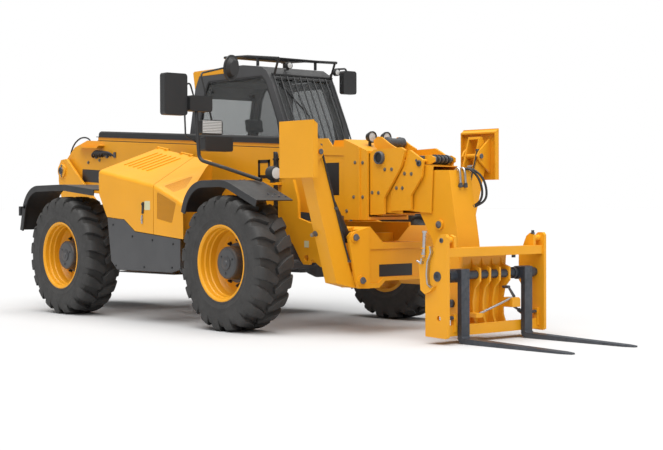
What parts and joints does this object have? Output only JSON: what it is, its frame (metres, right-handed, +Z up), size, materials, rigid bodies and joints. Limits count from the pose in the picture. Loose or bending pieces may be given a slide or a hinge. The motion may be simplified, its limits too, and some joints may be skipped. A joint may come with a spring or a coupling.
{
  "type": "telehandler",
  "caption": "Telehandler with a telescopic boom beside the cab, four steered wheels, front stabilisers and a floating fork carriage.",
  "frame": {"origin": "on the ground, in the middle of the machine's length and width", "axes": "+X towards the forks, +Y to the cab side, +Z up"},
  "size_m": [7.59, 2.61, 2.69],
  "materials": {
    "yellow_paint": "glossy construction yellow paint",
    "grey_paint": "satin dark grey paint",
    "black_paint": "satin black paint",
    "black_plastic": "textured black plastic",
    "tyre": "moulded rubber",
    "steel": "bright steel",
    "chrome_rod": "hard chrome",
    "dark_steel": "blue-black forged steel",
    "glass": "tinted safety glass",
    "fabric": "seat cloth",
    "cast": "cast iron"
  },
  "bodies": {
    "chassis": {"rail_right": "yellow_paint", "rail_left": "yellow_paint", "cross_members": "yellow_paint", "rear_tower": "yellow_paint", "chassis_pins": "steel", "counterweight": "grey_paint", "front_frame": "yellow_paint", "front_axle": "cast", "rear_axle": "cast", "side_skirt": "grey_paint", "pod_front_panel": "yellow_paint", "engine_block": "cast", "tank_and_step": "grey_paint", "fenders": "black_plastic", "cab_frame": "grey_paint", "cab_roof": "yellow_paint", "cab_glass": "glass", "cab_guards": "black_paint", "seat": "fabric", "console": "black_plastic", "mirrors": "black_plastic", "lamps": "black_plastic"},
    "boom": {"boom_outer": "yellow_paint", "boom_cover": "black_paint"},
    "section_2": {"boom_section_2": "yellow_paint"},
    "section_3": {"boom_section_3": "yellow_paint"},
    "nose": {"boom_nose": "yellow_paint"},
    "fork_carriage": {"carriage": "yellow_paint", "carriage_pins": "dark_steel"},
    "right_fork": {"fork_right": "dark_steel"},
    "left_fork": {"fork_left": "dark_steel"},
    "lift_ram_barrel": {"lift_barrel": "black_paint"},
    "lift_ram_rod": {"lift_rod": "chrome_rod"},
    "engine_cover": {"bonnet": "yellow_paint"},
    "door": {"cab_door": "grey_paint", "door_glass": "glass"},
    "right_leg": {"leg_right": "yellow_paint"},
    "right_pad": {"pad_right": "yellow_paint"},
    "right_leg_barrel": {"leg_barrel_right": "black_paint"},
    "right_leg_rod": {"leg_rod_right": "chrome_rod"},
    "left_leg": {"leg_left": "yellow_paint"},
    "left_pad": {"pad_left": "yellow_paint"},
    "left_leg_barrel": {"leg_barrel_left": "black_paint"},
    "left_leg_rod": {"leg_rod_left": "chrome_rod"},
    "front_right_knuckle": {"knuckle_front_right": "cast"},
    "front_right_wheel": {"tyre_front_right": "tyre", "rim_front_right": "yellow_paint", "hub_front_right": "grey_paint"},
    "front_left_knuckle": {"knuckle_front_left": "cast"},
    "front_left_wheel": {"tyre_front_left": "tyre", "rim_front_left": "yellow_paint", "hub_front_left": "grey_paint"},
    "rear_right_knuckle": {"knuckle_rear_right": "cast"},
    "rear_right_wheel": {"tyre_rear_right": "tyre", "rim_rear_right": "yellow_paint", "hub_rear_right": "grey_paint"},
    "rear_left_knuckle": {"knuckle_rear_left": "cast"},
    "rear_left_wheel": {"tyre_rear_left": "tyre", "rim_rear_left": "yellow_paint", "hub_rear_left": "grey_paint"}
  },
  "joints": [
    {"name": "boom_lift", "type": "hinge", "parent": "chassis", "child": "boom", "pos_m": [-3.7, 0, 1.515], "axis": [0, -1, 0], "range_deg": [0, 70]},
    {"name": "boom_extend", "type": "slide", "parent": "boom", "child": "section_2", "axis": [0.9984, 0, -0.0558], "range_m": [0, 3.6]},
    {"name": "section_3_extend", "type": "slide", "parent": "section_2", "child": "section_3", "axis": [0.9984, 0, -0.0558], "range_m": [0, 3.6]},
    {"name": "nose_extend", "type": "slide", "parent": "section_3", "child": "nose", "axis": [0.9984, 0, -0.0558], "range_m": [0, 3.6]},
    {"name": "carriage_tilt", "type": "hinge", "parent": "nose", "child": "fork_carriage", "pos_m": [2.34, 0, 0.295], "axis": [0, 1, 0], "range_deg": [-15, 100]},
    {"name": "fork_right_float", "type": "hinge", "parent": "fork_carriage", "child": "right_fork", "pos_m": [2.6, -0.385, 0.545], "axis": [0, -1, 0], "range_deg": [0, 30]},
    {"name": "fork_left_float", "type": "hinge", "parent": "fork_carriage", "child": "left_fork", "pos_m": [2.6, 0.385, 0.545], "axis": [0, -1, 0], "range_deg": [0, 30]},
    {"name": "lift_ram_swing", "type": "hinge", "parent": "chassis", "child": "lift_ram_barrel", "pos_m": [-3, 0, 0.72], "axis": [0, -1, 0], "range_deg": [0, 68.05]},
    {"name": "lift_ram_stroke", "type": "slide", "parent": "lift_ram_barrel", "child": "lift_ram_rod", "axis": [0.9826, 0, 0.186], "range_m": [0, 1.2137]},
    {"name": "bonnet_hinge", "type": "hinge", "parent": "chassis", "child": "engine_cover", "pos_m": [-1.25, -0.432, 1.66034], "axis": [-0.9866, 0, 0.163], "range_deg": [0, 65]},
    {"name": "door_hinge", "type": "hinge", "parent": "chassis", "child": "door", "pos_m": [-1.377, 1.162, 1.6], "axis": [0, 0, 1], "range_deg": [0, 85]},
    {"name": "leg_right_swing", "type": "hinge", "parent": "chassis", "child": "right_leg", "pos_m": [1.51, -0.527, 0.473], "axis": [1, 0, 0], "range_deg": [0, 86]},
    {"name": "pad_right_tilt", "type": "hinge", "parent": "right_leg", "child": "right_pad", "pos_m": [1.51, -0.981, 1.564], "axis": [1, 0, 0], "range_deg": [-15, 15]},
    {"name": "leg_right_ram_swing", "type": "hinge", "parent": "chassis", "child": "right_leg_barrel", "pos_m": [1.51, -0.604, 0.843], "axis": [1, 0, 0], "range_deg": [0, 97.74]},
    {"name": "leg_right_ram_stroke", "type": "slide", "parent": "right_leg_barrel", "child": "right_leg_rod", "axis": [0, -0.5102, 0.8601], "range_m": [0, 0.4802]},
    {"name": "leg_left_swing", "type": "hinge", "parent": "chassis", "child": "left_leg", "pos_m": [1.51, 0.527, 0.473], "axis": [-1, 0, 0], "range_deg": [0, 86]},
    {"name": "pad_left_tilt", "type": "hinge", "parent": "left_leg", "child": "left_pad", "pos_m": [1.51, 0.981, 1.564], "axis": [-1, 0, 0], "range_deg": [-15, 15]},
    {"name": "leg_left_ram_swing", "type": "hinge", "parent": "chassis", "child": "left_leg_barrel", "pos_m": [1.51, 0.604, 0.843], "axis": [-1, 0, 0], "range_deg": [0, 97.74]},
    {"name": "leg_left_ram_stroke", "type": "slide", "parent": "left_leg_barrel", "child": "left_leg_rod", "axis": [0, 0.5102, 0.8601], "range_m": [0, 0.4802]},
    {"name": "steer_front_right", "type": "hinge", "parent": "chassis", "child": "front_right_knuckle", "pos_m": [0.485, -0.8, 0.605], "axis": [0, 0, 1], "range_deg": [-35, 35]},
    {"name": "spin_front_right", "type": "hinge", "parent": "front_right_knuckle", "child": "front_right_wheel", "pos_m": [0.485, -1, 0.605], "axis": [0, 1, 0], "continuous": true},
    {"name": "steer_front_left", "type": "hinge", "parent": "chassis", "child": "front_left_knuckle", "pos_m": [0.485, 0.8, 0.605], "axis": [0, 0, 1], "range_deg": [-35, 35]},
    {"name": "spin_front_left", "type": "hinge", "parent": "front_left_knuckle", "child": "front_left_wheel", "pos_m": [0.485, 1, 0.605], "axis": [0, 1, 0], "continuous": true},
    {"name": "steer_rear_right", "type": "hinge", "parent": "chassis", "child": "rear_right_knuckle", "pos_m": [-2.265, -0.8, 0.605], "axis": [0, 0, 1], "range_deg": [-35, 35]},
    {"name": "spin_rear_right", "type": "hinge", "parent": "rear_right_knuckle", "child": "rear_right_wheel", "pos_m": [-2.265, -1, 0.605], "axis": [0, 1, 0], "continuous": true},
    {"name": "steer_rear_left", "type": "hinge", "parent": "chassis", "child": "rear_left_knuckle", "pos_m": [-2.265, 0.8, 0.605], "axis": [0, 0, 1], "range_deg": [-35, 35]},
    {"name": "spin_rear_left", "type": "hinge", "parent": "rear_left_knuckle", "child": "rear_left_wheel", "pos_m": [-2.265, 1, 0.605], "axis": [0, 1, 0], "continuous": true}
  ],
  "couplings": [
    {"joint": "section_3_extend", "follows": "boom_extend", "ratio": 1},
    {"joint": "nose_extend", "follows": "boom_extend", "ratio": 1},
    {"joint": "lift_ram_swing", "follows": "boom_lift", "ratio": 0.97137},
    {"joint": "lift_ram_stroke", "follows": "boom_lift", "m_per_rad": 0.99305},
    {"joint": "leg_right_ram_swing", "follows": "leg_right_swing", "ratio": 1.136},
    {"joint": "leg_right_ram_stroke", "follows": "leg_right_swing", "m_per_rad": 0.31957},
    {"joint": "leg_left_ram_swing", "follows": "leg_left_swing", "ratio": 1.136},
    {"joint": "leg_left_ram_stroke", "follows": "leg_left_swing", "m_per_rad": 0.31957},
    {"joint": "steer_front_left", "follows": "steer_front_right", "ratio": 1},
    {"joint": "steer_rear_left", "follows": "steer_rear_right", "ratio": 1}
  ]
}
